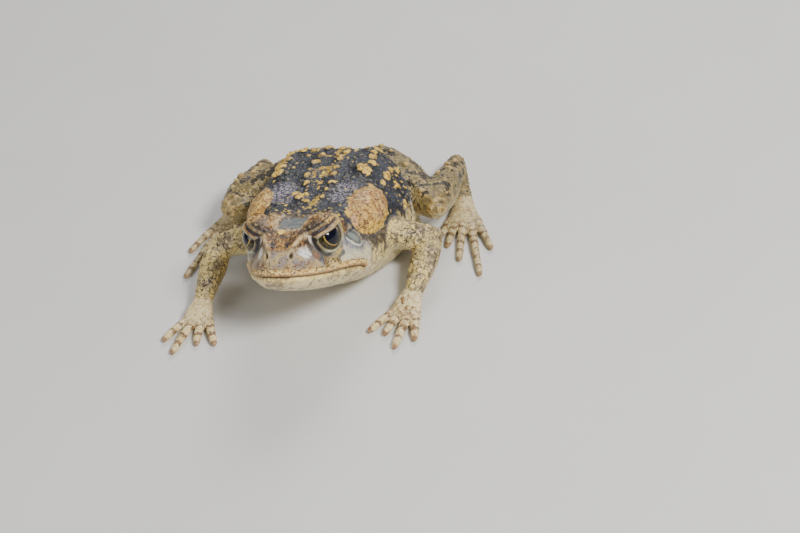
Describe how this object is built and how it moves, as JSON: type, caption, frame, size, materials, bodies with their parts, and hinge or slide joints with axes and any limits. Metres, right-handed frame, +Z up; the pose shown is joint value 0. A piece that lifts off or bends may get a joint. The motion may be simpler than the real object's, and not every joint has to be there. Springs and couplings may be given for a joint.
{
  "type": "cane toad still model",
  "caption": "Life-size still model of a cane toad in a plain crouch, head raised, with a warty back and a broad gland behind each eye.",
  "frame": {"origin": "on the floor, below the middle of the whole model's box", "axes": "+Z up, the toad faces -Y, its left side is +X"},
  "size_m": [0.1456, 0.138, 0.0601],
  "materials": {
    "back_skin": "moist warty skin, slate black with ochre warts",
    "head_skin": "moist skin, ochre brown with dark mottling",
    "throat_skin": "granular cream skin with grey mottling",
    "limb_skin": "granular olive cream skin with dark flecks",
    "digit_skin": "smooth cream skin with brown bands and tips",
    "gland": "pitted ochre gland skin",
    "eardrum": "smooth grey membrane",
    "eye": "wet glossy eye, dark pupil with a gold rim"
  },
  "bodies": {
    "root": {"eardrum_left": "eardrum", "eardrum_right": "eardrum", "eye_left": "eye", "eye_right": "eye", "finger_1_left": "digit_skin", "finger_1_right": "digit_skin", "finger_2_left": "digit_skin", "finger_2_right": "digit_skin", "finger_3_left": "digit_skin", "finger_3_right": "digit_skin", "finger_4_left": "digit_skin", "finger_4_right": "digit_skin", "foot_left": "limb_skin", "foot_right": "limb_skin", "forearm_left": "limb_skin", "forearm_right": "limb_skin", "hand_left": "limb_skin", "hand_right": "limb_skin", "head": "head_skin", "lower_jaw": "throat_skin", "parotoid_left": "gland", "parotoid_right": "gland", "shank_left": "limb_skin", "shank_right": "limb_skin", "tarsus_left": "limb_skin", "tarsus_right": "limb_skin", "thigh_left": "limb_skin", "thigh_right": "limb_skin", "toe_1_left": "digit_skin", "toe_1_right": "digit_skin", "toe_2_left": "digit_skin", "toe_2_right": "digit_skin", "toe_3_left": "digit_skin", "toe_3_right": "digit_skin", "toe_4_left": "digit_skin", "toe_4_right": "digit_skin", "toe_5_left": "digit_skin", "toe_5_right": "digit_skin", "torso": "back_skin", "upper_arm_left": "limb_skin", "upper_arm_right": "limb_skin"}
  },
  "joints": []
}
